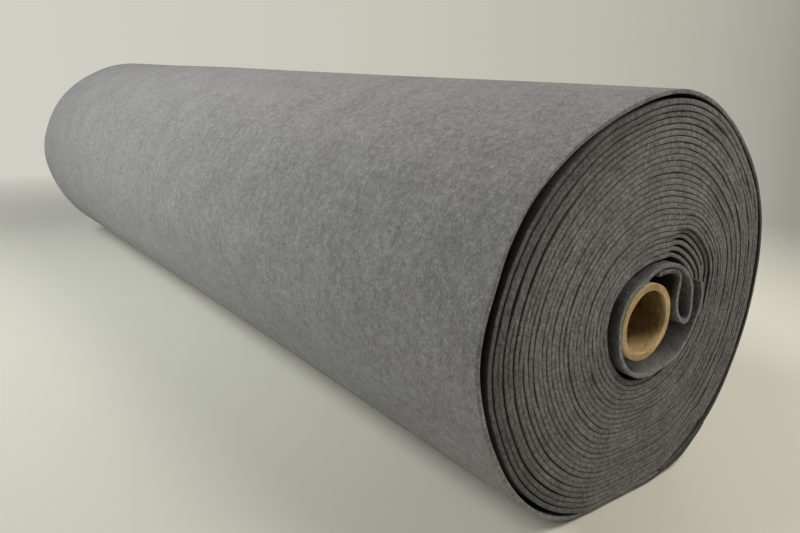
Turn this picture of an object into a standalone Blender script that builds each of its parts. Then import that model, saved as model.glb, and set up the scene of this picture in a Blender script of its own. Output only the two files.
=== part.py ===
"""Roll of grey needle-punched felt on a cardboard tube, lying on its side.

X runs along the roll, Z is up, and the origin is at the bottom centre of the whole piece.
The photographed end faces +X. Two pieces: the wound felt, which is one solid with its loose
inner wrap and the gap under its outer wrap, and the cardboard tube inside it.
"""

import math

import bmesh
import bpy
import numpy as np
from mathutils import Vector

# Driving dimensions, in metres
FELT_WIDTH = 0.900
FELT_THICKNESS = 0.0026
REST_HEIGHT = 0.1185

TUBE_RADIUS = 0.024
TUBE_WALL = 0.005
TUBE_EDGE_ROUND = 0.0004
TUBE_CENTRE = (-0.0065, 0.0008)

# The tube and the loose inner wrap have slid this far out of the photographed end
INNER_SLIDE = 0.004
TOUCH_GAP = 0.0004
WRAP_BITE = 0.0006

# Angles are in degrees about the roll's axis, from +Y towards +Z
TAIL_ANGLE = -46.0
OUTLINE_STEP = 3.0

# The slack section's mean radius: angle and radius in millimetres. The flat strip cuts it below.
SECTION_SHAPE_MM = (
    (-158.0, 129.5),
    (-142.0, 128.0),
    (-122.0, 127.5),
    (-90.0, 128.0),
    (-62.0, 129.3),
    (-46.0, 129.4),
    (-24.0, 128.0),
    (-8.0, 128.5),
    (14.0, 129.0),
    (30.0, 130.3),
    (46.0, 127.6),
    (60.0, 128.2),
    (82.0, 129.8),
    (100.0, 128.7),
    (120.0, 127.6),
    (145.0, 129.6),
    (158.0, 131.4),
    (170.0, 133.6),
    (180.0, 134.1),
    (190.0, 132.2),
)

# Gaps that stand open under the outer wrap: first and last angle, width in millimetres
OPEN_GAPS_MM = (
    (100.0, 238.0, 5.0),
    (-66.0, -50.0, 2.2),
)

# Where the roll's inner parts sit in the section, and how far they have turned and sagged
INNER_PLACE = (-0.0048, 0.0018)
INNER_TURN = 3.2
INNER_SAG = 0.965

# The wound felt's inner wall in the end plane: y and z in millimetres
BORE_WALL_MM = (
    (57.0, 3.0),
    (55.3, -9.0),
    (49.6, -22.0),
    (37.5, -33.6),
    (24.0, -40.0),
    (8.0, -43.6),
    (-8.5, -40.0),
    (-22.0, -29.5),
    (-31.0, -15.5),
    (-34.5, 0.5),
    (-31.0, 15.0),
    (-20.5, 27.0),
    (-5.0, 33.6),
    (12.0, 35.8),
    (28.0, 33.4),
    (42.0, 26.6),
    (53.0, 15.8),
)

# The inner wrap lies on the wall between these angles, from its cut end down
WALL_CONTACT = (20.0, -42.0)
# It lies on the tube between these angles, measured about the tube's axis
TUBE_CONTACT = (197.0, 107.0)
CONTACT_STEP = 10.0

# Under the tube, from the wall to the tube's far side: y and z in millimetres
WRAP_BELOW_MM = (
    (19.0, -37.2),
    (6.2, -38.6),
    (-6.5, -35.2),
    (-16.7, -27.8),
    (-23.7, -17.6),
)
# Over the tube, down the right and up again as a hook, to the felt's inner cut end
WRAP_HOOK_MM = (
    (-1.4, 28.0),
    (6.2, 30.2),
    (15.2, 30.4),
    (24.0, 28.3),
    (31.6, 24.6),
    (37.6, 19.0),
    (41.8, 11.2),
    (44.2, 2.9),
    (44.7, -4.5),
    (43.2, -10.0),
    (39.6, -11.8),
    (35.2, -9.6),
    (30.6, -4.8),
    (27.6, 1.0),
    (26.8, 8.0),
    (27.8, 14.6),
    (27.6, 19.8),
    (24.4, 23.0),
    (18.6, 24.4),
    (12.0, 25.2),
    (4.8, 25.6),
)
SMOOTH_STEPS = 3

MM = 0.001
# Turns a flat curve so that its X, Y and Z run along Y, Z and X
SECTION_TURN = (math.radians(90.0), 0.0, math.radians(90.0))


def clear_scene():
    for item in list(bpy.data.objects):
        bpy.data.objects.remove(item, do_unlink=True)


def make_collection(name):
    collection = bpy.data.collections.new(name)
    bpy.context.scene.collection.children.link(collection)
    return collection


def make_material(name, colour, roughness):
    material = bpy.data.materials.new(name)
    material.use_nodes = True
    shader = material.node_tree.nodes["Principled BSDF"]
    shader.inputs["Base Color"].default_value = (*colour, 1.0)
    shader.inputs["Roughness"].default_value = roughness
    shader.inputs["Metallic"].default_value = 0.0
    return material


def polar(radius, degrees, centre=(0.0, 0.0)):
    turn = math.radians(degrees)
    return (centre[0] + radius * math.cos(turn), centre[1] + radius * math.sin(turn))


def inner_points(rows):
    """Inner points in metres from the roll's axis, turned and sagged into place."""
    turn = math.radians(INNER_TURN)
    points = []
    for y, z in rows:
        turned_y = y * math.cos(turn) - z * math.sin(turn)
        turned_z = y * math.sin(turn) + z * math.cos(turn)
        points.append((INNER_PLACE[0] + turned_y * MM, INNER_PLACE[1] + INNER_SAG * turned_z * MM))
    return points


def smooth_path(points, closed):
    """Points on a Catmull-Rom curve through the given points."""
    count = len(points)
    spans = count if closed else count - 1

    def pick(index):
        if closed:
            return Vector(points[index % count])
        return Vector(points[min(max(index, 0), count - 1)])

    path = []
    for span in range(spans):
        before, start, end, after = (pick(span + offset) for offset in (-1, 0, 1, 2))
        for step in range(SMOOTH_STEPS):
            t = step / SMOOTH_STEPS
            point = 0.5 * (
                2.0 * start
                + (end - before) * t
                + (2.0 * before - 5.0 * start + 4.0 * end - after) * t ** 2
                + (3.0 * start - before - 3.0 * end + after) * t ** 3
            )
            path.append(tuple(point))
    if not closed:
        path.append(tuple(points[-1]))
    return path


def outer_radius(degrees):
    """The outer face winds in by one felt thickness over a turn, clockwise from the tail."""
    turned = ((TAIL_ANGLE - degrees) % 360.0) / 360.0
    angles = [angle for angle, radius in SECTION_SHAPE_MM]
    radii = [radius * MM for angle, radius in SECTION_SHAPE_MM]
    mean = float(np.interp(degrees, angles, radii, period=360.0))
    return mean + FELT_THICKNESS * (0.5 - turned)


def rest_corners():
    """The two edges of the flat strip that the roll rests on."""
    half = math.sqrt(outer_radius(-90.0) ** 2 - REST_HEIGHT ** 2)
    return [(half, -REST_HEIGHT), (-half, -REST_HEIGHT)]


def outer_outline():
    """Clockwise from the tail, with the tail's cut end as the last side."""
    steps = round(360.0 / OUTLINE_STEP)
    before_rest = []
    after_rest = []
    for index in range(steps):
        degrees = TAIL_ANGLE - index * OUTLINE_STEP
        y, z = polar(outer_radius(degrees), degrees)
        if z > -REST_HEIGHT:
            side = before_rest if degrees > -90.0 else after_rest
            side.append((y, z))
    tail_inside = polar(outer_radius(TAIL_ANGLE) - FELT_THICKNESS, TAIL_ANGLE)
    return before_rest + rest_corners() + after_rest + [tail_inside]


def open_gap_outline(start, end, widest):
    """A crescent just under the outer wrap, widest in the middle of its run."""
    steps = round((end - start) / OUTLINE_STEP)
    outer_side = []
    inner_side = []
    for index in range(steps + 1):
        run = index / steps
        degrees = start + run * (end - start)
        radius = outer_radius(degrees) - FELT_THICKNESS
        outer_side.append(polar(radius, degrees))
        if 0 < index < steps:
            width = widest * math.sin(math.pi * run)
            inner_side.append(polar(radius - width, degrees))
    return outer_side + inner_side[::-1]


def bore_outline():
    return smooth_path(inner_points(BORE_WALL_MM), closed=True)


def bore_radius(degrees):
    outline = bore_outline()
    angles = [math.degrees(math.atan2(z, y)) for y, z in outline]
    radii = [math.hypot(y, z) for y, z in outline]
    return float(np.interp(degrees, angles, radii, period=360.0))


def angles_between(start, end):
    steps = round(abs(end - start) / CONTACT_STEP)
    return np.linspace(start, end, steps + 1)


def inner_wrap_path():
    """The loose inner wrap's middle line, from its cut end at the wall to the hook's end."""
    half = 0.5 * FELT_THICKNESS
    on_wall = [polar(bore_radius(turn) + WRAP_BITE - half, turn) for turn in angles_between(*WALL_CONTACT)]
    tube_reach = TUBE_RADIUS + TOUCH_GAP + half
    on_tube = [polar(tube_reach, turn, TUBE_CENTRE) for turn in angles_between(*TUBE_CONTACT)]
    points = on_wall + inner_points(WRAP_BELOW_MM) + on_tube + inner_points(WRAP_HOOK_MM)
    return smooth_path(points, closed=False)


def section_centre():
    """The sideways middle of the section, which goes to Y = 0."""
    sides = [y for y, z in outer_outline()]
    return 0.5 * (min(sides) + max(sides))


def section_place(slide):
    """Where the roll's axis lies, so that the bottom centre of the whole is the origin."""
    return Vector((slide - 0.5 * INNER_SLIDE, -section_centre(), REST_HEIGHT))


def add_outline(curve, points, closed):
    spline = curve.splines.new("POLY")
    spline.points.add(len(points) - 1)
    for target, (y, z) in zip(spline.points, points):
        target.co = (y, z, 0.0, 1.0)
    spline.use_cyclic_u = closed


def section_curve(name, outlines, closed, slide):
    curve = bpy.data.curves.new(name, "CURVE")
    curve.dimensions = "2D"
    curve.fill_mode = "BOTH" if closed else "NONE"
    curve.extrude = 0.5 * FELT_WIDTH
    for points in outlines:
        add_outline(curve, points, closed)
    item = bpy.data.objects.new(name, curve)
    item.rotation_euler = SECTION_TURN
    item.location = section_place(slide)
    return item


def curve_to_mesh(item, collection, name):
    """A mesh object in the curve's place, with the caps welded to the sides."""
    bpy.context.scene.collection.objects.link(item)
    bpy.context.view_layer.update()
    evaluated = item.evaluated_get(bpy.context.evaluated_depsgraph_get())
    mesh = bpy.data.meshes.new_from_object(evaluated)
    mesh.name = name
    edit = bmesh.new()
    edit.from_mesh(mesh)
    bmesh.ops.remove_doubles(edit, verts=edit.verts, dist=0.00001)
    bmesh.ops.recalc_face_normals(edit, faces=edit.faces)
    edit.to_mesh(mesh)
    edit.free()
    result = bpy.data.objects.new(name, mesh)
    result.matrix_world = item.matrix_world.copy()
    collection.objects.link(result)
    bpy.data.objects.remove(item, do_unlink=True)
    return result


def build_inner_wrap(collection):
    """The loose inner wrap as a sheet of felt thickness, joined later to the wound felt."""
    strip = section_curve("inner_wrap_line", [inner_wrap_path()], False, INNER_SLIDE)
    wrap = curve_to_mesh(strip, collection, "inner_wrap_sheet")
    thicken = wrap.modifiers.new("thickness", "SOLIDIFY")
    thicken.thickness = FELT_THICKNESS
    thicken.offset = 0.0
    thicken.use_even_offset = True
    wrap.hide_render = True
    wrap.display_type = "WIRE"
    return wrap


def build_felt_roll(collection, joined, material):
    gaps = [open_gap_outline(start, end, width * MM) for start, end, width in OPEN_GAPS_MM]
    outlines = [outer_outline(), bore_outline()] + gaps
    wound = section_curve("felt_section", outlines, True, 0.0)
    roll = curve_to_mesh(wound, collection, "felt_roll")
    union = roll.modifiers.new("inner_wrap", "BOOLEAN")
    union.operation = "UNION"
    union.solver = "EXACT"
    union.object = joined
    roll.data.materials.clear()
    roll.data.materials.append(material)
    return roll


def tube_profile():
    """Half a lengthwise cut through the tube: radius and height, outer side first, downwards."""
    outer = TUBE_RADIUS
    inner = TUBE_RADIUS - TUBE_WALL
    half = 0.5 * FELT_WIDTH
    cut = TUBE_EDGE_ROUND
    return [
        (outer - cut, half),
        (outer, half - cut),
        (outer, cut - half),
        (outer - cut, -half),
        (inner + cut, -half),
        (inner, cut - half),
        (inner, half - cut),
        (inner + cut, half),
    ]


def build_core_tube(collection, material):
    profile = tube_profile()
    corners = [(radius, 0.0, height) for radius, height in profile]
    count = len(corners)
    edges = [(index, (index + 1) % count) for index in range(count)]
    mesh = bpy.data.meshes.new("core_tube")
    mesh.from_pydata(corners, edges, [])
    mesh.materials.append(material)
    tube = bpy.data.objects.new("core_tube", mesh)
    tube.rotation_euler = (0.0, math.radians(90.0), 0.0)
    tube.location = section_place(INNER_SLIDE) + Vector((0.0, *TUBE_CENTRE))
    collection.objects.link(tube)
    turn = tube.modifiers.new("turn", "SCREW")
    turn.axis = "Z"
    turn.steps = 72
    turn.render_steps = 72
    turn.use_merge_vertices = True
    turn.merge_threshold = 0.00001
    turn.use_smooth_shade = True
    return tube


def main():
    clear_scene()
    parts = make_collection("roll_of_felt")
    helpers = make_collection("joined_shapes")
    felt = make_material("felt", (0.23, 0.23, 0.22), 0.95)
    cardboard = make_material("cardboard", (0.50, 0.35, 0.19), 0.85)
    inner_wrap = build_inner_wrap(helpers)
    build_felt_roll(parts, inner_wrap, felt)
    build_core_tube(parts, cardboard)


main()
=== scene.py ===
"""Looks for the roll of felt: every turn of the wound felt as a thin sheet, the slack outer
wrap, the loose inner wrap with its hook, and the cardboard tube.

X runs along the roll, towards the photographed end. Section points are (y, z) from the roll's
axis, and angles are in degrees about that axis, from +Y towards +Z.
"""

import math

import bmesh
import bpy
import numpy as np
from mathutils import Matrix, Vector


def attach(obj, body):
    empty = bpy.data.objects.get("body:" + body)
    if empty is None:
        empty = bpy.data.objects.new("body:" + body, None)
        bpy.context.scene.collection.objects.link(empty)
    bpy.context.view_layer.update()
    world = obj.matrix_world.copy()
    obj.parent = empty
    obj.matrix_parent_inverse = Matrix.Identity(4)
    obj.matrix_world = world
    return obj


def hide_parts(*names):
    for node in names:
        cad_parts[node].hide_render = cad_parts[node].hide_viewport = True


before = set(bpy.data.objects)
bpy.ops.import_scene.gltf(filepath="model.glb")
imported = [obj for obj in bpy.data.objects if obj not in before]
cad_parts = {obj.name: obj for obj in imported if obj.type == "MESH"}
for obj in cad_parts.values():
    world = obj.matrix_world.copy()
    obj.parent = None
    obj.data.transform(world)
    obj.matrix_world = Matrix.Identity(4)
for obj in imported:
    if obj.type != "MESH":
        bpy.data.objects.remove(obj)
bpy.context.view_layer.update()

MM = 0.001

# The solids' own sizes, in metres: the felt, the roll's axis above the floor, and the tube
FELT_THICKNESS = 0.0026
REST_HEIGHT = 0.1185
AXIS_Y = 0.00333
TUBE_RADIUS = 0.024
TUBE_CENTRE = (-0.0065, 0.0008)
# The air between the tube and the inner wrap
TOUCH_GAP = 0.0004
# Where the outer cut end lies, as an angle
TAIL_ANGLE = -46.0

# The tube as it shows, inside the room of its solid: a thinner wall, and lying at the bottom
SHOWN_TUBE_RADIUS = 0.0231
SHOWN_TUBE_BORE = SHOWN_TUBE_RADIUS - 0.0041
SHOWN_TUBE_CENTRE = (-0.0065, 0.0)
TUBE_SEGMENTS = 160
TUBE_PLIES = 9
PLY_RIDGE = 0.25 * MM
# How far in from its cut ends the tube has rows of points
TUBE_DEPTHS = (0.30, 0.05, 0.004, 0.0004)
# How much painted shade the tube gets inside: distance in from its ends, and share
TUBE_PAINTED_SHADE = ((0.0, 0.0), (0.004, 0.35), (0.05, 0.75), (0.30, 1.0))

# The two ends of the wound felt along X. The inner wrap and the tube have slid out a little
BODY_NEAR = 0.448
BODY_FAR = -0.452
INNER_SLIDE = 0.004
INNER_NEAR = BODY_NEAR + INNER_SLIDE
INNER_FAR = BODY_FAR + INNER_SLIDE

# The wound body's outline, midway through its last turn: angle, and radius in millimetres
SECTION_SHAPE_MM = (
    (-158.0, 129.5),
    (-142.0, 128.0),
    (-122.0, 127.5),
    (-90.0, 128.0),
    (-62.0, 129.3),
    (-46.0, 129.4),
    (-24.0, 128.0),
    (-8.0, 128.5),
    (14.0, 129.0),
    (30.0, 130.3),
    (46.0, 127.6),
    (60.0, 128.2),
    (82.0, 129.8),
    (100.0, 128.7),
    (120.0, 127.6),
    (145.0, 129.6),
    (158.0, 131.4),
    (170.0, 133.6),
    (180.0, 134.1),
    (190.0, 132.2),
)

# The three outlines below were measured about a centre of their own. These are its place, the
# outlines' turn in degrees, and the share of their height that their sagging leaves
INNER_PLACE = (-0.0048, 0.0018)
INNER_TURN = 3.2
INNER_SAG = 0.965

# The inner wall of the wound felt, all the way round
BORE_WALL_MM = (
    (57.0, 3.0),
    (55.3, -9.0),
    (49.6, -22.0),
    (37.5, -33.6),
    (24.0, -40.0),
    (8.0, -43.6),
    (-8.5, -40.0),
    (-22.0, -29.5),
    (-31.0, -15.5),
    (-34.5, 0.5),
    (-31.0, 15.0),
    (-20.5, 27.0),
    (-5.0, 33.6),
    (12.0, 35.8),
    (28.0, 33.4),
    (42.0, 26.6),
    (53.0, 15.8),
)
# The inner wrap lies on that wall and then on the tube between these angles
WALL_CONTACT = (20.0, -42.0)
TUBE_CONTACT = (197.0, 107.0)
CONTACT_STEP = 10.0
# Its way under the tube between the two, and from the tube out into its hook
WRAP_BELOW_MM = (
    (19.0, -37.2),
    (6.2, -38.6),
    (-6.5, -35.2),
    (-16.7, -27.8),
    (-23.7, -17.6),
)
WRAP_HOOK_MM = (
    (-1.4, 28.0),
    (6.2, 30.2),
    (15.2, 30.4),
    (24.0, 28.3),
    (31.6, 24.6),
    (37.6, 19.0),
    (41.8, 11.2),
    (44.2, 2.9),
    (44.7, -4.5),
    (43.2, -10.0),
    (39.6, -11.8),
    (35.2, -9.6),
    (30.6, -4.8),
    (27.6, 1.0),
    (26.8, 8.0),
    (28.0, 14.6),
    (28.2, 20.4),
    (25.2, 24.1),
    (19.0, 26.1),
    (12.0, 26.8),
    (4.8, 26.4),
)

# How the felt is wound: turns, and the turn where its hidden inner end starts
TURNS = 28.0
FIRST_TURN = 0.1
WOUND_TURNS = TURNS - FIRST_TURN
STATIONS_PER_TURN = 180
# The outer wrap is its own sheet from here on, under the tail
OUTER_WRAP_TURNS = 1.07
# The innermost turns have come loose in the sector about this angle, out to its half width and
# easing off over its edge
LOOSE_SECTOR = (38.0, 14.0, 26.0)

# The slack outer wrap at the photographed end: angle, radius of the wrap's outer face and
# radius of the turn below it, in millimetres
OUTER_WRAP_MM = (
    (-168.0, 134.0, 128.5),
    (-156.0, 130.9, 126.0),
    (-144.0, 130.1, 125.3),
    (-132.0, 128.8, 123.7),
    (-120.0, 127.0, 122.2),
    (-108.0, 125.0, 120.2),
    (-72.0, 126.0, 122.0),
    (-60.0, 128.9, 122.3),
    (-48.0, 130.8, 122.8),
    (-36.0, 128.1, 122.0),
    (-24.0, 127.5, 121.6),
    (-12.0, 127.5, 121.6),
    (0.0, 127.7, 121.9),
    (12.0, 128.0, 122.5),
    (24.0, 129.8, 124.1),
    (36.0, 129.5, 124.0),
    (48.0, 127.2, 123.1),
    (60.0, 128.0, 124.3),
    (72.0, 129.3, 125.2),
    (84.0, 129.8, 125.2),
    (96.0, 128.5, 124.0),
    (108.0, 127.0, 122.9),
    (120.0, 128.0, 124.4),
    (132.0, 131.0, 125.6),
    (144.0, 134.1, 127.6),
    (156.0, 135.8, 128.5),
    (168.0, 136.8, 129.4),
    (180.0, 137.8, 130.4),
)
# The room that the wrap takes above the turn below it
WRAP_ROOM = 0.0030

FLOOR_REACH = 2.0
FLOOR_SIDES = 64
# How far out the floor starts to fade, and where it has gone
FLOOR_FADE = (0.55, 1.05)

# The photograph's camera
CAMERA_PLACE = (0.65896, -0.34918, 0.24891)
CAMERA_RIGHT = (0.61133, 0.79015, 0.04406)
CAMERA_FORWARD = (-0.75533, 0.59919, -0.26543)
FOCAL_LENGTH_MM = 31.39
SENSOR_WIDTH_MM = 36.0

# The floor's painted light and shade from left to right as the camera sees it, darker on the left
# and lighter on the right: place across it, and colour
FLOOR_TONES = (
    (0.05, (0.555, 0.551, 0.489)),
    (0.45, (0.630, 0.624, 0.553)),
    (0.59, (0.690, 0.680, 0.598)),
    (0.73, (0.835, 0.815, 0.708)),
)
# The backdrop's painted light, lighter on the left and darker on the right, in the same way
BACKDROP_PAINTED_LIGHT = (
    (0.012, (0.630, 0.630, 0.570)),
    (0.500, (0.571, 0.560, 0.482)),
    (0.776, (0.497, 0.485, 0.413)),
    (0.895, (0.429, 0.429, 0.366)),
    (0.959, (0.366, 0.366, 0.320)),
    (0.988, (0.314, 0.314, 0.271)),
)

# Name, place, target, size, power in watts, colour, and spread in degrees
LIGHTS = (
    ("window", (-0.26, -0.90, 0.82), (-0.12, 0.0, 0.15), (0.8, 0.7), 5.3, (0.98, 1.0, 1.0), 95.0),
    ("ceiling", (-0.3, 0.3, 2.3), (-0.1, 0.0, 0.1), (2.2, 2.2), 0.8, (1.0, 0.99, 0.96), 180.0),
    ("back", (-0.45, 1.40, 0.50), (-0.1, 0.1, 0.1), (1.2, 0.6), 2.0, (1.0, 1.0, 0.97), 180.0),
    ("front", (1.05, 0.50, 1.25), (0.40, 0.0, 0.1), (0.7, 0.7), 12.8, (1.0, 0.95, 0.85), 180.0),
)


def random_source(seed):
    """Random numbers that are the same on every run."""
    return np.random.default_rng(seed)


def smooth_noise(places, spacing, seed):
    """Noise of about unit size along one coordinate, smooth over the spacing."""
    places = np.asarray(places, float)
    low = places.min() - 2.0 * spacing
    count = int((places.max() - low) / spacing) + 4
    values = random_source(seed).normal(size=count + 2)
    at = (places - low) / spacing
    cell = np.floor(at).astype(int)
    part = at - cell
    ease = part * part * (3.0 - 2.0 * part)
    return values[cell] * (1.0 - ease) + values[cell + 1] * ease


def surface_noise(first, second, longest, shortest, seed, waves=14):
    """Noise of about unit size over two coordinates in metres, from waves of mixed length."""
    source = random_source(seed)
    total = np.zeros(np.broadcast(first, second).shape)
    for _ in range(waves):
        length = math.exp(source.uniform(math.log(shortest), math.log(longest)))
        direction = source.uniform(0.0, math.tau)
        phase = source.uniform(0.0, math.tau)
        along = first * math.cos(direction) + second * math.sin(direction)
        total = total + np.sin(math.tau * along / length + phase)
    return total / math.sqrt(0.5 * waves)


def round_the_section(degrees, angles, values):
    """Values given at some angles, read off at others all the way round."""
    return np.interp(degrees, angles, values, period=360.0)


def eased(value):
    """Nought below nought, one above one, and a smooth rise between."""
    value = np.clip(value, 0.0, 1.0)
    return value * value * (3.0 - 2.0 * value)


def window(degrees, centre, half_width, edge):
    """One inside the sector, easing to nought outside it."""
    away = np.abs((np.asarray(degrees) - centre + 180.0) % 360.0 - 180.0)
    return eased((half_width + edge - away) / edge)


def wavy(base, along, *waves):
    """The base with noise on it. Each wave is its size in millimetres, its spacing and its seed."""
    for amount, spacing, seed in waves:
        base = base + amount * MM * smooth_noise(along, spacing, seed)
    return base


def length_along(points):
    """The distance along a line of points, at each of them."""
    steps = np.hypot(*np.diff(points, axis=0).T)
    return np.concatenate([[0.0], np.cumsum(steps)])


def on_circle(radius, degrees, centre=(0.0, 0.0)):
    """Section points at these angles and this radius, or these radii, from the centre."""
    turn = np.radians(degrees)
    return np.stack([centre[0] + radius * np.cos(turn), centre[1] + radius * np.sin(turn)], axis=1)


def inner_points(rows):
    """Measured points of the three inner outlines, in millimetres, as section points."""
    turn = math.radians(INNER_TURN)
    points = []
    for y, z in rows:
        turned_y = y * math.cos(turn) - z * math.sin(turn)
        turned_z = y * math.sin(turn) + z * math.cos(turn)
        points.append((INNER_PLACE[0] + turned_y * MM, INNER_PLACE[1] + INNER_SAG * turned_z * MM))
    return np.array(points)


def smooth_path(points, closed, steps):
    """Points on a smooth cubic curve that passes through the given points."""
    points = np.asarray(points, float)
    count = len(points)
    spans = count if closed else count - 1
    path = []
    for span in range(spans):
        picks = [span + offset for offset in (-1, 0, 1, 2)]
        if closed:
            picks = [pick % count for pick in picks]
        else:
            picks = [min(max(pick, 0), count - 1) for pick in picks]
        before, start, end, after = points[picks]
        for step in range(steps):
            t = step / steps
            path.append(
                0.5
                * (
                    2.0 * start
                    + (end - before) * t
                    + (2.0 * before - 5.0 * start + 4.0 * end - after) * t ** 2
                    + (3.0 * start - before - 3.0 * end + after) * t ** 3
                )
            )
    if not closed:
        path.append(points[-1])
    return np.array(path)


BORE_OUTLINE = smooth_path(inner_points(BORE_WALL_MM), True, 6)
BORE_ANGLES = np.degrees(np.arctan2(BORE_OUTLINE[:, 1], BORE_OUTLINE[:, 0]))
BORE_RADII = np.hypot(BORE_OUTLINE[:, 0], BORE_OUTLINE[:, 1])

FINE_ANGLES = np.arange(-180.0, 180.0, 1.0)
# The measured outlines are smoothed over this many degrees to each side
SMOOTHED_OVER = 4


def smoothed_radii(angles, millimetres):
    """Radii at each degree round the section, averaged over a small sector."""
    values = round_the_section(FINE_ANGLES, angles, millimetres)
    offsets = range(-SMOOTHED_OVER, SMOOTHED_OVER + 1)
    return sum(np.roll(values, offset) for offset in offsets) / len(offsets) * MM


SHAPE_RADII = smoothed_radii(*zip(*SECTION_SHAPE_MM))
WRAP_ANGLES, WRAP_OUTER_MM, WRAP_SECOND_MM = zip(*OUTER_WRAP_MM)
WRAP_RADII = smoothed_radii(WRAP_ANGLES, WRAP_OUTER_MM)
SECOND_RADII = smoothed_radii(WRAP_ANGLES, WRAP_SECOND_MM)


def bore_radius(degrees):
    """The inner wall of the wound felt."""
    return round_the_section(degrees, BORE_ANGLES, BORE_RADII)


def above_floor(radius, degrees, lift=0.0, soft=0.0026):
    """The radius, softly cut off by the flat strip underneath or by a plane above it."""
    # The cut is worked out only where the angle points well downwards
    least_down = 0.3
    far_away = 1.0
    down = -np.sin(np.radians(degrees))
    cut = (REST_HEIGHT - lift) / np.maximum(down, least_down)
    flat = np.where(down > least_down, cut, far_away)
    least = np.minimum(radius, flat)
    other = np.maximum(radius, flat)
    return least - soft * np.exp(-(other - least) / soft)


def full_radius(degrees):
    """The outer face where the last turn ends, with the flat strip underneath."""
    middle = round_the_section(degrees, FINE_ANGLES, SHAPE_RADII)
    return above_floor(middle + 0.5 * FELT_THICKNESS, degrees)


def slack_wrap_radius(degrees):
    """The outer face of the slack outer wrap at the photographed end."""
    return above_floor(round_the_section(degrees, FINE_ANGLES, WRAP_RADII), degrees)


def second_radius(degrees):
    """The outer face of the turn under the outer wrap."""
    radius = round_the_section(degrees, FINE_ANGLES, SECOND_RADII)
    return above_floor(radius, degrees, lift=WRAP_ROOM, soft=0.0008)


def evenly_wound(depth, degrees):
    """How far below the full outline a turn lies when nothing hangs slack under the wrap."""
    room = full_radius(degrees) - bore_radius(degrees)
    fall = room * depth / WOUND_TURNS
    # The outer turns are looser on the left, and those further in lie tighter for it
    slack = 0.20 * MM * window(degrees, 185.0, 38.0, 45.0)
    loose_turns = 9.0
    taken_up = loose_turns * (WOUND_TURNS - depth) / (WOUND_TURNS - loose_turns)
    fall = fall + slack * np.where(depth < loose_turns, depth, taken_up)
    # They lie in pairs there
    pairs = 0.22 * MM * window(degrees, 182.0, 40.0, 30.0)
    paired = np.exp(-((np.clip(depth - 5.0, 0.0, None) / 5.0) ** 2))
    return fall + pairs * paired * np.cos(math.pi * (depth - 0.37))


def loose_near_bore(degrees, from_bore, begins, over):
    """How much a turn belongs to the loose ones, this many turns out from the inner wall."""
    return window(degrees, *LOOSE_SECTOR) * eased((begins - from_bore) / over)


def depth_below_outside(depth, degrees):
    """How far below the full outline a turn's outer face lies, depth turns in from the tail."""
    fall = evenly_wound(depth, degrees)
    # The gap under the outer wrap closes up again over the next turns
    second_depth = first_turn_depth(degrees) + 1.0
    gap = full_radius(degrees) - second_radius(degrees) - evenly_wound(second_depth, degrees)
    under = np.clip(depth - second_depth, 0.0, None)
    gap = gap * np.exp(-((under / 8.0) ** 2)) * eased((depth - 1.0) / 0.07)
    fall = fall + np.where(depth >= second_depth - 0.001, gap, 0.0)
    # The innermost turns have come loose, most of all a few turns out from the wall
    from_bore = WOUND_TURNS - depth
    loose = 1.35 * MM * loose_near_bore(degrees, from_bore, 16.0, 12.0)
    return fall - loose * np.minimum(from_bore, 3.5)


def first_turn_depth(degrees):
    """How many turns in from the tail the outermost layer is at this angle."""
    return ((TAIL_ANGLE - degrees) % 360.0) / 360.0


class Winding:
    """The wound sheet between two depths, as points along it from the inside out."""

    def __init__(self, deepest, shallowest):
        count = int(round((deepest - shallowest) * STATIONS_PER_TURN)) + 1
        self.depth = np.linspace(deepest, shallowest, count)
        self.degrees = TAIL_ANGLE - 360.0 * self.depth
        self.turned = (self.degrees + 180.0) % 360.0 - 180.0
        outer = full_radius(self.turned) - self.fall(self.depth)
        inner = np.maximum(outer - self.thickness(), self.lowest_inner())
        # No turn is squeezed thinner than this
        inner = np.minimum(inner, outer - 1.4 * MM)
        self.outer_radius = outer
        self.outer = on_circle(outer, self.degrees)
        self.inner = on_circle(inner, self.degrees)
        self.along = length_along(on_circle(0.5 * (outer + inner), self.degrees))

    def fall(self, depth):
        """How far below the full outline the outer face lies, wandering a little."""
        wander = 0.10 * MM * smooth_noise(-depth, 0.11, 11)
        wander = wander * eased((depth - 0.9) / 1.0) * eased((WOUND_TURNS - depth) / 1.5)
        return depth_below_outside(depth, self.turned) + wander

    def lowest_inner(self):
        """The lowest that the inner face can lie: a thin uneven gap above the turn below."""
        below = full_radius(self.turned) - self.fall(self.depth + 1.0)
        uneven = wavy(0.0, -self.depth, (0.07, 0.06, 12), (0.07, 0.012, 13))
        wider = 0.14 * MM * window(self.turned, 155.0, 45.0, 50.0)
        open_gap = (0.05 * MM + wider + uneven).clip(0.02 * MM, 0.35 * MM)
        has_below = self.depth + 1.0 <= WOUND_TURNS
        return np.where(has_below, below + open_gap, 0.0)

    def thickness(self):
        """The felt's thickness where it has room: it swells a little under the outer turn."""
        swollen = 0.4 * MM + 0.3 * MM * eased((self.depth - 6.0) / 5.0)
        from_bore = WOUND_TURNS - self.depth
        swollen = swollen * (1.0 - loose_near_bore(self.turned, from_bore, 6.0, 2.0))
        return FELT_THICKNESS + np.where(self.depth < 1.0, 0.0, swollen)


# Round one cut edge of a sheet: how far in from the edge, and where between its two faces
EDGE_OUTER = ((0.38 * MM, 0.0), (0.10 * MM, 0.05), (0.02 * MM, 0.2))
EDGE_TOP = ((0.0, 0.5),)
EDGE_INNER = ((0.02 * MM, 0.8), (0.10 * MM, 0.95), (0.38 * MM, 1.0))
EDGE_REACH = 0.40 * MM
# How thick a strip's last two stations are at each end, as shares: they round it off
STRIP_END_SHARES = (0.45, 0.85)

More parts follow.
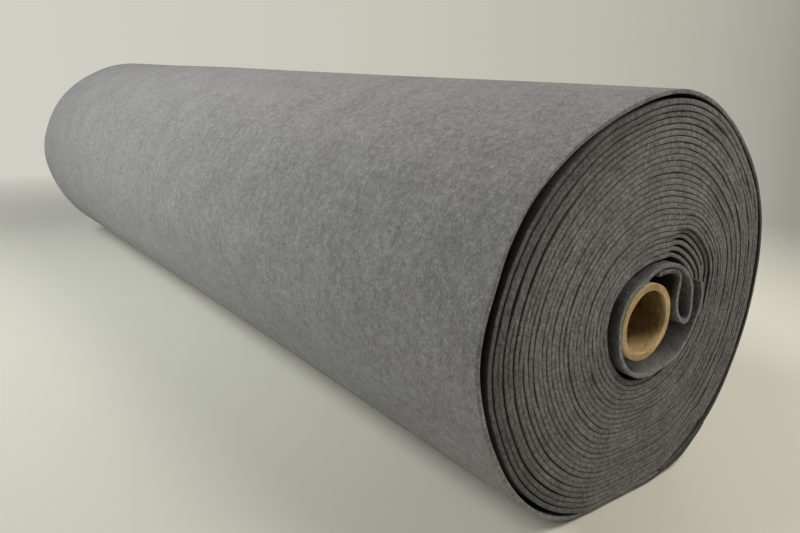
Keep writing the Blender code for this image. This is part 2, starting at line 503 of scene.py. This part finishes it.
# How much light reaches a face: distance in from the cut edge, and share
IN_THE_OPEN = ((0.0, 1.0), (1.0, 1.0))
BETWEEN_TURNS = ((0.0, 1.0), (0.00002, 0.95), (0.00010, 0.82), (0.00038, 0.50), (0.004, 0.06))
BESIDE_TUBE = ((0.0, 1.0), (0.0006, 0.72), (0.004, 0.36), (0.02, 0.14), (0.06, 0.06))
INSIDE_HOOK = ((0.0, 1.0), (0.0006, 0.9), (0.004, 0.72), (0.03, 0.48), (0.15, 0.22))


def ring_of(face_depths):
    """The cross-section's outline: end (1 near, 0 far), distance in, place between the faces."""
    near = [(1, depth, 0.0) for depth in face_depths]
    near += [(1, *row) for row in EDGE_OUTER + EDGE_TOP + EDGE_INNER]
    near += [(1, depth, 1.0) for depth in reversed(face_depths)]
    far = [(0, depth, 1.0) for depth in face_depths]
    far += [(0, *row) for row in reversed(EDGE_OUTER + EDGE_TOP + EDGE_INNER)]
    far += [(0, depth, 0.0) for depth in reversed(face_depths)]
    half = len(near) // 2 + 1
    return far[half:] + near + far[:half]


def add_piece(name, points, faces, uvs, materials, shade):
    """A smooth mesh, with how much of the light reaches each point stored as its shade, for the
    materials to paint into the colour.
    """
    mesh = bpy.data.meshes.new(name)
    mesh.from_pydata(points.reshape(-1, 3).tolist(), [], faces)
    layer = mesh.uv_layers.new(name="metres")
    layer.data.foreach_set("uv", np.asarray(uvs, np.float32).ravel())
    mesh.polygons.foreach_set("use_smooth", np.ones(len(mesh.polygons), bool))
    for material in materials:
        mesh.materials.append(material)
    attribute = mesh.attributes.new("shade", "FLOAT", "POINT")
    attribute.data.foreach_set("value", np.ascontiguousarray(shade, np.float32).ravel())
    mesh.update()
    item = bpy.data.objects.new(name, mesh)
    bpy.context.scene.collection.objects.link(item)
    return item


def sheet_solid(
    name, outer, inner, along, face_depths, near, far, materials, light,
    edge_light=1.0, outer_light=1.0, shape=None,
):
    """A closed sheet between an outer and an inner line of section points.

    near and far are its two ends along X, one for each station. materials are those of its
    faces and of its cut edges. light is how much light its outer and its inner face get, going
    in from the ends, and edge_light and outer_light how much of it the cut edge and the outer
    face get at each station. shape moves the section points: it is given X, section points,
    distance along, end and depth.
    """
    ring = ring_of(face_depths)
    end, depth, place = np.array(ring).T[:, None, :]
    stations = len(along)
    per_ring = len(ring)
    rounding = np.ones(stations)
    for index, share in enumerate(STRIP_END_SHARES):
        rounding[index] = share
        rounding[-1 - index] = share
    squeezed = (0.5 + (place - 0.5) * rounding[:, None])[..., None]
    x = np.where(end == 1, near[:, None] - depth, far[:, None] + depth)
    section = outer[:, None, :] * (1.0 - squeezed) + inner[:, None, :] * squeezed
    if shape is not None:
        section = shape(x, section, along[:, None], end, depth)
    points = np.concatenate([x[..., None], section], axis=2)
    points[..., 1] += AXIS_Y
    points[..., 2] += REST_HEIGHT

    loops = np.concatenate([points, points[:, :1]], axis=1)
    steps = np.linalg.norm(np.diff(loops, axis=1), axis=2)
    around = np.concatenate([[0.0], np.cumsum(steps.mean(axis=0))])
    faces, uvs = strip_faces(ring, along, around)

    at_edge = depth[0] <= EDGE_REACH
    on_outer = place[0] < 0.5
    outer_share, inner_share = (np.interp(depth[0], *zip(*rows)) for rows in light)
    shade = np.broadcast_to(np.where(on_outer, outer_share, inner_share), (stations, per_ring))
    by_station = np.broadcast_to(edge_light, (stations,))[:, None]
    shade = np.where(at_edge, shade * by_station, shade)
    by_station = np.broadcast_to(outer_light, (stations,))[:, None]
    shade = np.where(on_outer & ~at_edge, shade * by_station, shade)

    item = add_piece(name, points, faces, uvs, materials, shade)
    edge_face = at_edge & np.roll(at_edge, -1)
    material_index = np.zeros(len(faces), np.int32)
    material_index[: (stations - 1) * per_ring] = np.tile(edge_face, stations - 1)
    item.data.polygons.foreach_set("material_index", material_index)
    item.data.update()
    return item


def ring_faces(starts, along, around):
    """Quads between rings of points, and their UVs. starts is the number of each one's first."""
    per_ring = len(around) - 1
    spoke = np.arange(per_ring)
    following = (spoke + 1) % per_ring
    here = starts[:-1, None]
    there = starts[1:, None]
    corners = [here + spoke, here + following, there + following, there + spoke]
    u0, v0 = np.broadcast_arrays(along[:-1, None], around[:-1])
    u1, v1 = np.broadcast_arrays(along[1:, None], around[1:])
    uvs = np.stack([u0, v0, u0, v1, u1, v1, u1, v0], axis=2)
    return np.stack(corners, axis=2).reshape(-1, 4), uvs.reshape(-1, 4, 2)


def strip_faces(ring, along, around):
    """A closed strip's faces and their UVs: round every station, then across its two ends."""
    starts = np.arange(len(along)) * len(ring)
    quads, quad_uvs = ring_faces(starts, along, around)
    faces = [tuple(quad) for quad in quads[:, ::-1]]
    uvs = [quad_uvs[:, ::-1].reshape(-1, 2)]
    for last in (False, True):
        start = starts[-1] if last else starts[0]
        travelled = along[-1] if last else along[0]
        for cap in cap_faces(ring):
            corners = cap[::-1] if last else cap
            faces.append(tuple(start + index for index in corners))
            uvs.append(np.array([(travelled, around[index]) for index in corners]))
    return faces, np.concatenate(uvs)


def cap_faces(ring):
    """Faces across the sheet's strip-like end, in ring order."""
    count = len(ring)
    tops = [index for index, row in enumerate(ring) if row[1] == 0.0]
    near_top = next(index for index in tops if ring[index][0] == 1)
    far_top = next(index for index in tops if ring[index][0] == 0)
    span = (far_top - near_top) % count
    faces = [(near_top, (near_top + 1) % count, (near_top - 1) % count)]
    for step in range(1, span - 1):
        outer = (near_top - step) % count
        outer_next = (near_top - step - 1) % count
        inner = (near_top + step) % count
        inner_next = (near_top + step + 1) % count
        faces.append((inner, inner_next, outer_next, outer))
    faces.append(((far_top - 1) % count, far_top, (far_top + 1) % count))
    return faces


class Nodes:
    """A node tree, with short ways to add nodes and to link them."""

    def __init__(self, tree):
        self.tree = tree

    def feed(self, node, key, value):
        """Link an input to a value that is a socket, or set it to one that is a constant."""
        socket = node.inputs[key]
        if hasattr(value, "is_linked"):
            self.tree.links.new(value, socket)
        else:
            socket.default_value = value

    def feed_all(self, node, inputs):
        for key, value in inputs.items():
            self.feed(node, key.replace("_", " "), value)

    def node(self, kind, settings=None, **inputs):
        made = self.tree.nodes.new(kind)
        for key, value in (settings or {}).items():
            setattr(made, key, value)
        self.feed_all(made, inputs)
        return made

    def coordinates(self, kind):
        return self.node("ShaderNodeTexCoord").outputs[kind]

    def noise(self, vector, scale, detail, roughness):
        made = self.node(
            "ShaderNodeTexNoise", Vector=vector, Scale=scale, Detail=detail, Roughness=roughness
        )
        return made.outputs["Fac"]

    def stretched(self, vector, degrees, scale_along, scale_across):
        made = self.node(
            "ShaderNodeMapping",
            {"vector_type": "POINT"},
            Vector=vector,
            Rotation=(0.0, 0.0, math.radians(degrees)),
            Scale=(scale_along, scale_across, 1.0),
        )
        return made.outputs["Vector"]

    def maths(self, operation, first, second):
        made = self.node("ShaderNodeMath", {"operation": operation})
        self.feed(made, 0, first)
        self.feed(made, 1, second)
        return made.outputs[0]

    def blend(self, *weighted):
        """The sum of values, each times its weight."""
        total = None
        for value, weight in weighted:
            part = self.maths("MULTIPLY", value, weight)
            total = part if total is None else self.maths("ADD", total, part)
        return total

    def across(self, place):
        """How far a place lies to the right, as the photograph's camera sees it."""
        made = self.node("ShaderNodeVectorMath", {"operation": "DOT_PRODUCT"})
        self.feed(made, 0, place)
        self.feed(made, 1, CAMERA_RIGHT)
        return made.outputs["Value"]

    def spread(self, value, low, high, to_low=0.0, to_high=1.0):
        """The value, moved from its own range into another."""
        made = self.node(
            "ShaderNodeMapRange",
            Value=value, From_Min=low, From_Max=high, To_Min=to_low, To_Max=to_high,
        )
        return made.outputs["Result"]

    def ramp(self, value, stops):
        """A colour that depends on the value. Each stop is its position and its colour."""
        made = self.node("ShaderNodeValToRGB", Fac=value)
        elements = made.color_ramp.elements
        while len(elements) < len(stops):
            elements.new(0.5)
        for element, (position, colour) in zip(elements, stops):
            element.position = position
            element.color = (*colour, 1.0)
        return made.outputs["Color"]


class Shader(Nodes):
    """A material with one surface."""

    def __init__(self, name):
        self.material = bpy.data.materials.new(name)
        self.material.use_nodes = True
        super().__init__(self.material.node_tree)
        self.surface = self.tree.nodes["Principled BSDF"]

    def bump(self, height, strength, distance):
        made = self.node("ShaderNodeBump", Height=height, Strength=strength, Distance=distance)
        return made.outputs["Normal"]

    def shaded(self, colour, deepest=1.0):
        """The colour, darkened where little light gets in, and made deeper there by a power."""
        shade = self.node("ShaderNodeAttribute", {"attribute_name": "shade"}).outputs["Fac"]
        power = self.spread(shade, 0.0, 1.0, deepest, 1.0)
        deeper = self.node("ShaderNodeGamma", Color=colour, Gamma=power).outputs["Color"]
        made = self.node("ShaderNodeVectorMath", {"operation": "SCALE"}, Vector=deeper, Scale=shade)
        return made.outputs["Vector"]

    def finished(self, **inputs):
        """The material, with the surface's inputs fed."""
        self.feed_all(self.surface, inputs)
        return self.material


def felt_material():
    """Grey needle-punched felt: mixed light and dark fibres, matted, with stray streaks."""
    shader = Shader("felt")
    place = shader.coordinates("UV")
    # Three sets of fibres that cross: direction in degrees, and scale along and across them
    fibres = ((24.0, 330.0, 1000.0), (-38.0, 360.0, 1050.0), (80.0, 340.0, 980.0))
    sets = [shader.noise(shader.stretched(place, *fibre), 1.0, 3.0, 0.6) for fibre in fibres]
    streaks = shader.blend(*((one_set, 1.0 / len(sets)) for one_set in sets))
    grain = shader.noise(place, 620.0, 4.0, 0.75)
    clumps = shader.noise(place, 190.0, 3.0, 0.6)
    patches = shader.noise(place, 34.0, 3.0, 0.55)
    mix = shader.blend((streaks, 0.30), (grain, 0.38), (clumps, 0.22), (patches, 0.10))
    colour = shader.ramp(
        mix,
        (
            (0.40, (0.110, 0.107, 0.107)),
            (0.46, (0.172, 0.169, 0.169)),
            (0.53, (0.240, 0.237, 0.236)),
            (0.61, (0.360, 0.357, 0.352)),
        ),
    )
    height = shader.blend((streaks, 0.7), (grain, 0.9), (clumps, 0.3))
    return shader.finished(
        # Painted shade: the shade attribute darkens the colour between the turns, beside the tube
        # and inside the hook
        Base_Color=shader.shaded(colour),
        Roughness=shader.spread(grain, 0.3, 0.7, 0.86, 1.0),
        Specular_IOR_Level=0.12,
        Sheen_Weight=0.12,
        Sheen_Roughness=0.6,
        Normal=shader.bump(height, 0.75, 1.0 * MM),
    )


def cut_felt_material():
    """The felt's cut edge: fibre ends and small pits, rougher and more broken than its face."""
    shader = Shader("felt_cut_edge")
    place = shader.coordinates("Object")
    ends = shader.noise(place, 760.0, 4.0, 0.8)
    pits = shader.noise(place, 330.0, 3.0, 0.7)
    patches = shader.noise(place, 60.0, 2.0, 0.5)
    mix = shader.blend((ends, 0.50), (pits, 0.36), (patches, 0.14))
    colour = shader.ramp(
        mix,
        (
            (0.40, (0.138, 0.135, 0.133)),
            (0.47, (0.214, 0.210, 0.207)),
            (0.53, (0.282, 0.277, 0.273)),
            (0.61, (0.410, 0.404, 0.396)),
        ),
    )
    height = shader.blend((ends, 1.0), (pits, 1.0))
    return shader.finished(
        # Painted shade: the shade attribute darkens the cut edges where little light reaches them
        Base_Color=shader.shaded(colour),
        Roughness=shader.spread(ends, 0.3, 0.7, 0.88, 1.0),
        Specular_IOR_Level=0.1,
        Normal=shader.bump(height, 0.7, 1.0 * MM),
    )


def cardboard_material():
    """Brown kraft board, with streaks of pulp, flecks and stains."""
    shader = Shader("cardboard")
    place = shader.coordinates("UV")
    pulp = shader.noise(shader.stretched(place, 0.0, 180.0, 420.0), 1.0, 4.0, 0.65)
    flecks = shader.noise(place, 1500.0, 2.0, 0.6)
    stains = shader.noise(place, 45.0, 2.0, 0.5)
    mix = shader.blend((pulp, 0.45), (stains, 0.35), (flecks, 0.20))
    colour = shader.ramp(
        mix,
        (
            (0.36, (0.43, 0.300, 0.142)),
            (0.48, (0.57, 0.415, 0.210)),
            (0.56, (0.70, 0.535, 0.295)),
            (0.66, (0.82, 0.670, 0.420)),
        ),
    )
    height = shader.blend((pulp, 1.0), (flecks, 0.5))
    return shader.finished(
        # Painted shade: the tube is darkened inside, with its colour made deeper there
        Base_Color=shader.shaded(colour, 2.1),
        Roughness=shader.spread(pulp, 0.3, 0.7, 0.72, 0.9),
        Specular_IOR_Level=0.3,
        Normal=shader.bump(height, 0.35, 0.4 * MM),
    )


def build_wound_felt(materials):
    """The felt from its inner wall to under the outer wrap, wound as one long strip."""
    winding = Winding(WOUND_TURNS, OUTER_WRAP_TURNS)
    turned = winding.turned
    near = wavy(BODY_NEAR, winding.along, (0.16, 0.02, 21), (0.22, 0.3, 22), (0.10, 0.005, 25))
    far = wavy(BODY_FAR, winding.along, (0.16, 0.02, 23), (0.22, 0.3, 24))
    # The loose innermost turns lie a little further in at the photographed end
    innermost = eased((6.0 - (TURNS - winding.depth)) / 2.0)
    near = near - 2.4 * MM * innermost * window(turned, 35.0, 25.0, 20.0)
    # Less light reaches the lower half of the ends
    edge_light = 1.0 - 0.2 * window(turned, -75.0, 60.0, 70.0)
    # The loose outer turns on the left lie in the wrap's shade
    under_wrap = np.exp(-(((winding.depth - OUTER_WRAP_TURNS) / 5.0) ** 2))
    edge_light = edge_light * (1.0 - 0.40 * under_wrap * window(turned, 172.0, 50.0, 45.0))
    face_depths = (0.004,)
    item = sheet_solid(
        "wound_felt", winding.outer, winding.inner, winding.along, face_depths, near, far,
        materials, (BETWEEN_TURNS, BETWEEN_TURNS), edge_light,
    )
    return item, winding.along[-1]


def build_outer_wrap(materials):
    """The last turn and a little more. It ends in the tail, and hangs slack at one end."""
    winding = Winding(OUTER_WRAP_TURNS, 0.0)
    turned = winding.turned
    wound = winding.outer_radius
    # It hangs slack at the photographed end and lies closer to the roll at the other
    on_second = np.maximum(wound, second_radius(turned) + WRAP_ROOM)
    settled = np.where(winding.depth < 1.0, on_second, wound)
    lift_far = (settled - wound)[:, None]
    lift_near = (slack_wrap_radius(turned) - wound)[:, None]
    over_tail = eased((1.0 - winding.depth) / 0.04)[:, None]
    off_floor = (1.0 - window(turned, -90.0, 26.0, 14.0))[:, None]

    def shape(x, section, travelled, end, depth):
        outward = section / np.linalg.norm(section, axis=2, keepdims=True)
        dents = 0.22 * MM * (surface_noise(travelled, x, 0.6, 0.22, 31) + 1.0)
        dents = np.maximum(dents, -0.05 * MM) * off_floor
        nearness = eased((x - BODY_FAR) / (BODY_NEAR - BODY_FAR))
        lift = lift_far * (1.0 - nearness) + lift_near * nearness
        return section + outward * ((dents + lift) * over_tail)[..., None]

    near = wavy(BODY_NEAR, winding.along, (0.25, 0.02, 41), (0.4, 0.15, 42))
    far = wavy(BODY_FAR, winding.along, (0.25, 0.02, 43), (0.4, 0.15, 44))
    face_depths = (*np.linspace(0.435, 0.060, 14), 0.040, 0.024, 0.012, 0.006, 0.003, 0.0015)
    # Painted shade: its edge is darker on the right, standing in for an edge turned away from the
    # light
    edge_light = 1.0 - 0.55 * window(turned, -22.0, 40.0, 60.0)
    item = sheet_solid(
        "outer_wrap", winding.outer, winding.inner, winding.along, face_depths, near, far,
        materials, (IN_THE_OPEN, BETWEEN_TURNS), edge_light, shape=shape,
    )
    return item, winding.along[-1]


def contact_angles(first, last):
    """Angles at even steps from where the inner wrap meets something to where it leaves it."""
    return np.linspace(first, last, round(abs(last - first) / CONTACT_STEP) + 1)


def inner_wrap_path():
    """The inner wrap's middle line: down the wall, under and round the tube, and its hook."""
    half = 0.5 * FELT_THICKNESS
    clear_of_wall = 0.1 * MM
    at_wall = contact_angles(*WALL_CONTACT)
    on_wall = on_circle(bore_radius(at_wall) - half - clear_of_wall, at_wall)
    at_tube = contact_angles(*TUBE_CONTACT)
    on_tube = on_circle(TUBE_RADIUS + TOUCH_GAP + half, at_tube, TUBE_CENTRE)
    below = inner_points(WRAP_BELOW_MM)
    hook = inner_points(WRAP_HOOK_MM)
    return smooth_path(np.concatenate([on_wall, below, on_tube, hook]), False, 8)


def build_inner_wrap(materials):
    """The loose sheet that comes off the inner wall and ends in a folded-back hook."""
    path = inner_wrap_path()
    along = length_along(path)
    ahead = np.gradient(path, along, axis=0)
    ahead = ahead / np.linalg.norm(ahead, axis=1, keepdims=True)
    side = np.stack([-ahead[:, 1], ahead[:, 0]], axis=1)
    half = 0.5 * FELT_THICKNESS
    near = wavy(INNER_NEAR, along, (0.25, 0.012, 51), (0.3, 0.08, 52))
    far = wavy(INNER_FAR, along, (0.25, 0.012, 53), (0.3, 0.08, 54))
    lean = np.clip(1.0 - along / 0.012, 0.0, 1.0)[:, None]

    def shape(x, section, travelled, end, depth):
        # The cut end at the wall isn't square: it runs down towards the photographed end
        run = np.clip(1.0 - depth / 0.010, 0.0, 1.0) * (end == 1)
        shift = 0.8 * MM * lean * run
        return section + shift[..., None] * ahead[:, None, :]

    # Past the hook's fold the sheet faces the tube, where it is dark
    to_loose_end = along[-1] - along
    outer_light = 1.0 - 0.65 * eased((0.050 - to_loose_end) / 0.020)
    edge_light = 1.0 - 0.35 * eased((0.030 - to_loose_end) / 0.010)
    face_depths = (0.300, 0.150, 0.070, 0.030, 0.010, 0.004)
    item = sheet_solid(
        "inner_wrap", path + half * side, path - half * side, along, face_depths, near, far,
        materials, (BESIDE_TUBE, INSIDE_HOOK), edge_light, outer_light, shape,
    )
    return item, along[-1]


def tube_profile():
    """Radius and X of the tube's points in order: outside, near end, bore and far end.

    The plies show as fine ridges round both cut ends.
    """
    radii = np.linspace(SHOWN_TUBE_RADIUS, SHOWN_TUBE_BORE, TUBE_PLIES * 2 + 1)[1:-1]
    rows = [(SHOWN_TUBE_RADIUS, depth) for depth in TUBE_DEPTHS]
    rows += [(radius, PLY_RIDGE if index % 2 else 0.0) for index, radius in enumerate(radii)]
    rows += [(SHOWN_TUBE_BORE, depth) for depth in reversed(TUBE_DEPTHS)]
    near = [(radius, INNER_NEAR - depth) for radius, depth in rows]
    far = [(radius, INNER_FAR + depth) for radius, depth in reversed(rows)]
    return np.array(near + far)


def build_core_tube(material):
    """The cardboard tube. Its near end is a little out of round and uneven."""
    profile = tube_profile()
    radii, places = profile.T
    turn = (np.arange(TUBE_SEGMENTS) * math.tau / TUBE_SEGMENTS)[:, None]
    source = random_source(61)
    wobble = sum(
        source.uniform(-1.0, 1.0) * np.sin(k * turn + source.uniform(0.0, math.tau))
        for k in (2, 3, 5)
    )
    uneven = 0.12 * MM
    near_end = np.maximum(0.0, 1.0 - (INNER_NEAR - places) / 0.05)
    radius = radii + uneven * wobble * near_end
    # The cut end is ragged, and each ply in its own way
    ragged = np.where(near_end > 0.99, uneven * np.sin(7.0 * turn + radii * 9000.0), 0.0)
    y = AXIS_Y + SHOWN_TUBE_CENTRE[0] + radius * np.cos(turn)
    z = REST_HEIGHT + SHOWN_TUBE_CENTRE[1] + radius * np.sin(turn)
    points = np.stack([places + ragged, y, z], axis=2)

    travelled = SHOWN_TUBE_RADIUS * np.arange(TUBE_SEGMENTS + 1) * math.tau / TUBE_SEGMENTS
    starts = np.arange(TUBE_SEGMENTS + 1) % TUBE_SEGMENTS * len(profile)
    around = length_along(np.concatenate([profile, profile[:1]]))
    quads, uvs = ring_faces(starts, travelled, around)

    # Painted shade inside the tube: the top is dark, and it gets darker further in
    inside = radii < SHOWN_TUBE_BORE + 0.1 * MM
    from_end = np.minimum(INNER_NEAR - places, places - INNER_FAR)
    deep = np.interp(from_end, *zip(*TUBE_PAINTED_SHADE))
    roof = 0.5 + 0.5 * np.sin(turn)
    dark = inside * (0.12 + 0.72 * roof + 0.16 * deep) * np.minimum(1.0, deep * 2.5)
    faces = [tuple(quad) for quad in quads]
    return add_piece("cardboard_tube", points, faces, uvs, (material,), 1.0 - 0.97 * dark)


def fix_normals(item):
    """Turn every face of a closed mesh outwards."""
    edit = bmesh.new()
    edit.from_mesh(item.data)
    bmesh.ops.recalc_face_normals(edit, faces=edit.faces)
    edit.to_mesh(item.data)
    edit.free()


def floor_material():
    """A pale floor with painted light and shade across it, that fades into the backdrop well away
    from the roll.
    """
    shader = Shader("pale_floor")
    place = shader.coordinates("Object")
    marks = shader.noise(place, 2.5, 4.0, 0.5)
    across = shader.spread(shader.across(place), -0.5, 0.6)
    # Painted light and shade from left to right, with a few small marks of the floor's own
    tone = shader.blend((across, 0.9), (marks, 0.1))
    length = shader.node("ShaderNodeVectorMath", {"operation": "LENGTH"}, Vector=place)
    return shader.finished(
        Base_Color=shader.ramp(tone, FLOOR_TONES),
        Roughness=0.6,
        Specular_IOR_Level=0.25,
        Alpha=shader.spread(length.outputs["Value"], *FLOOR_FADE, 1.0, 0.0),
    )


def build_stage():
    """A round floor, a hair under the roll so that the two don't touch."""
    points = [(0.0, 0.0, 0.0)]
    for index in range(FLOOR_SIDES):
        turn = math.tau * index / FLOOR_SIDES
        points.append((FLOOR_REACH * math.cos(turn), FLOOR_REACH * math.sin(turn), 0.0))
    faces = [(0, index + 1, (index + 1) % FLOOR_SIDES + 1) for index in range(FLOOR_SIDES)]
    mesh = bpy.data.meshes.new("floor")
    mesh.from_pydata(points, [], faces)
    mesh.materials.append(floor_material())
    floor = bpy.data.objects.new("floor", mesh)
    floor.location = (0.0, 0.0, -0.2 * MM)
    bpy.context.scene.collection.objects.link(floor)


def area_light(name, place, target, size, power, colour, spread):
    """A rectangular light, aimed at the target. A narrow spread keeps it off what lies around."""
    data = bpy.data.lights.new(name, "AREA")
    data.shape = "RECTANGLE"
    data.size, data.size_y = size
    data.spread = math.radians(spread)
    data.energy = power
    data.color = colour
    lamp = bpy.data.objects.new(name, data)
    lamp.location = place
    lamp.rotation_euler = (Vector(target) - Vector(place)).to_track_quat("-Z", "Y").to_euler()
    bpy.context.scene.collection.objects.link(lamp)


def build_light():
    """Soft daylight from the left, a warm light on the photographed end, and a pale backdrop with
    painted light across it.
    """
    bpy.context.scene.view_settings.view_transform = "Standard"
    world = bpy.data.worlds.new("studio")
    world.use_nodes = True
    bpy.context.scene.world = world
    nodes = Nodes(world.node_tree)
    # The backdrop is what the camera sees. It lights nothing: the dim background does
    background = nodes.tree.nodes["Background"]
    nodes.feed_all(background, {"Color": (1.0, 1.0, 0.97, 1.0), "Strength": 0.12})
    # The backdrop's painted light: lighter on the left, darker on the right
    across = nodes.spread(nodes.across(nodes.coordinates("Generated")), -0.5, 0.5)
    backdrop = nodes.node("ShaderNodeBackground", Color=nodes.ramp(across, BACKDROP_PAINTED_LIGHT))
    seen = nodes.node("ShaderNodeLightPath").outputs["Is Camera Ray"]
    choose = nodes.node("ShaderNodeMixShader", Fac=seen)
    nodes.feed(choose, 1, background.outputs["Background"])
    nodes.feed(choose, 2, backdrop.outputs["Background"])
    nodes.feed(nodes.tree.nodes["World Output"], "Surface", choose.outputs["Shader"])
    for light in LIGHTS:
        area_light(*light)


def build_camera():
    """The photograph's camera, from its place and its axes to the right and forward."""
    data = bpy.data.cameras.new("camera")
    data.sensor_width = SENSOR_WIDTH_MM
    data.lens = FOCAL_LENGTH_MM
    data.clip_start = 0.02
    camera = bpy.data.objects.new("camera", data)
    right = Vector(CAMERA_RIGHT).normalized()
    forward = Vector(CAMERA_FORWARD).normalized()
    up = right.cross(forward).normalized()
    axes = Matrix((right, up, -forward)).transposed().to_4x4()
    axes.translation = Vector(CAMERA_PLACE)
    camera.matrix_world = axes
    bpy.context.scene.collection.objects.link(camera)
    bpy.context.scene.camera = camera


def main():
    felt = (felt_material(), cut_felt_material())
    wound, wound_length = build_wound_felt(felt)
    wrap, wrap_length = build_outer_wrap(felt)
    inner, inner_length = build_inner_wrap(felt)
    tube = build_core_tube(cardboard_material())
    for item in (wound, wrap, inner, tube):
        fix_normals(item)
        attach(item, "root")
    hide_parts("felt_roll")
    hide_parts("felt_roll")
    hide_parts("felt_roll")
    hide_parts("core_tube")
    build_stage()
    build_light()
    build_camera()


main()
